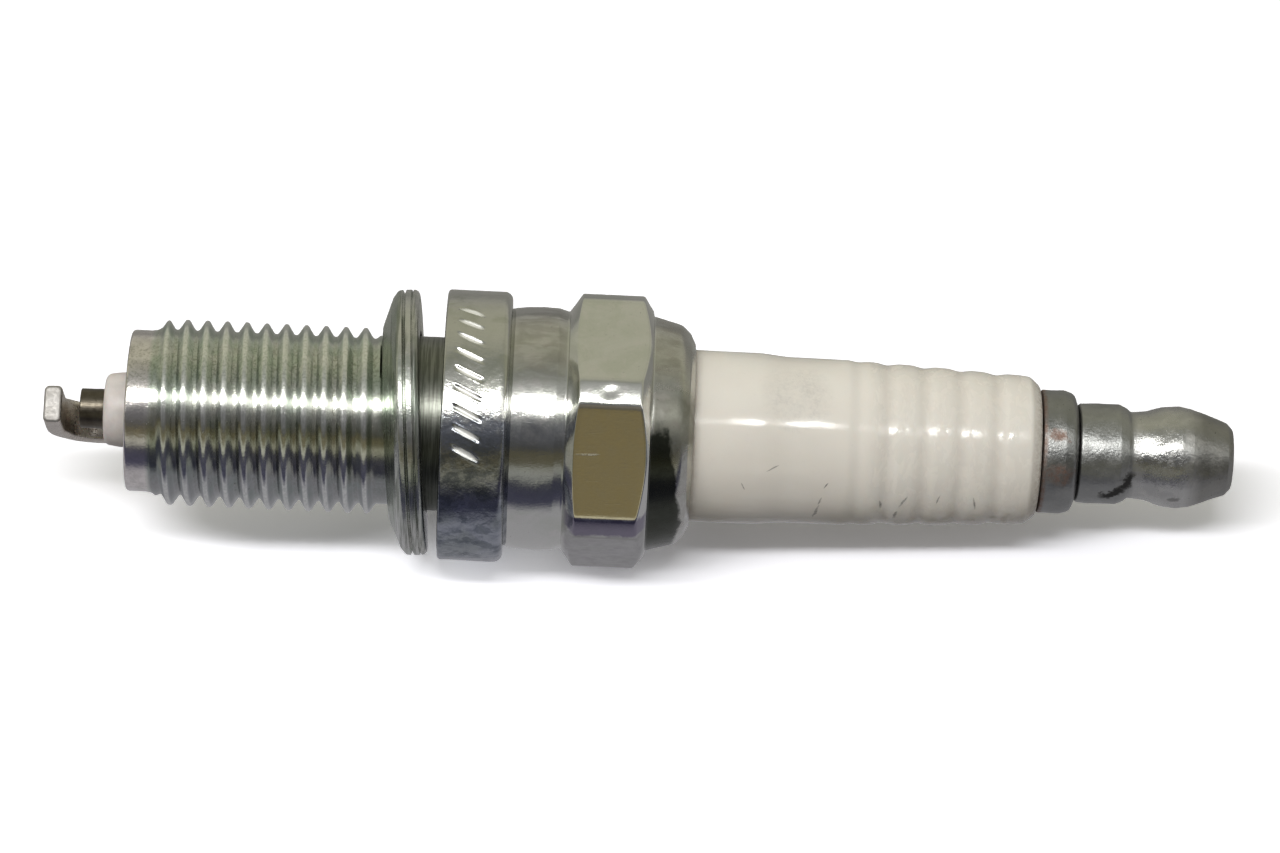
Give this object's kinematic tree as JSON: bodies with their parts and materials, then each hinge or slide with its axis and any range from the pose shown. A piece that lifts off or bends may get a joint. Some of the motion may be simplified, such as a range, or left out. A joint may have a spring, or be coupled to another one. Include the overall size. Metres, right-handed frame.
{
  "type": "spark plug",
  "caption": "Spark plug with threaded steel shell, hexagon, ribbed ceramic insulator, loose folded gasket, bent ground strap and screw-on terminal nut.",
  "frame": {"origin": "on the plug's axis at its mid-length; the gasket seat face is the plane x = -0.0124 m", "axes": "+X along the plug's axis towards the terminal, firing end towards -X; two hexagon flats face +Z and -Z"},
  "size_m": [0.0752, 0.0176, 0.0172],
  "materials": {
    "zinc_plated_steel": "bright zinc-plated steel",
    "gasket_steel": "zinc-plated folded sheet steel",
    "nickel_alloy": "drawn nickel alloy, slightly bronzed",
    "copper": "plain copper",
    "glazed_alumina": "white glazed alumina",
    "steel_wire": "plain steel wire",
    "talc": "pressed talc powder",
    "conductive_glass": "dark fused glass and metal powder",
    "resistor_compound": "matt carbon and glass compound",
    "nickel_plated_steel": "dull nickel-plated steel"
  },
  "bodies": {
    "plug": {"metal_shell": "zinc_plated_steel", "ground_electrode": "nickel_alloy", "centre_electrode": "nickel_alloy", "centre_electrode_copper_core": "copper", "insulator": "glazed_alumina", "seat_packing_washer": "copper", "lower_packing_ring": "steel_wire", "upper_packing_ring": "steel_wire", "talc_fill": "talc", "lower_glass_seal": "conductive_glass", "resistor": "resistor_compound", "upper_glass_seal": "conductive_glass", "terminal_stud": "nickel_plated_steel"},
    "gasket": {"gasket": "gasket_steel"},
    "terminal_nut": {"terminal_nut": "nickel_plated_steel"}
  },
  "joints": [
    {"name": "terminal_nut_unscrew", "type": "slide", "parent": "plug", "child": "terminal_nut", "axis": [1, 0, 0], "range_m": [0, 0.009]},
    {"name": "gasket_travel", "type": "slide", "parent": "plug", "child": "gasket", "axis": [1, 0, 0], "range_m": [-0.0009, 0.0006]}
  ]
}
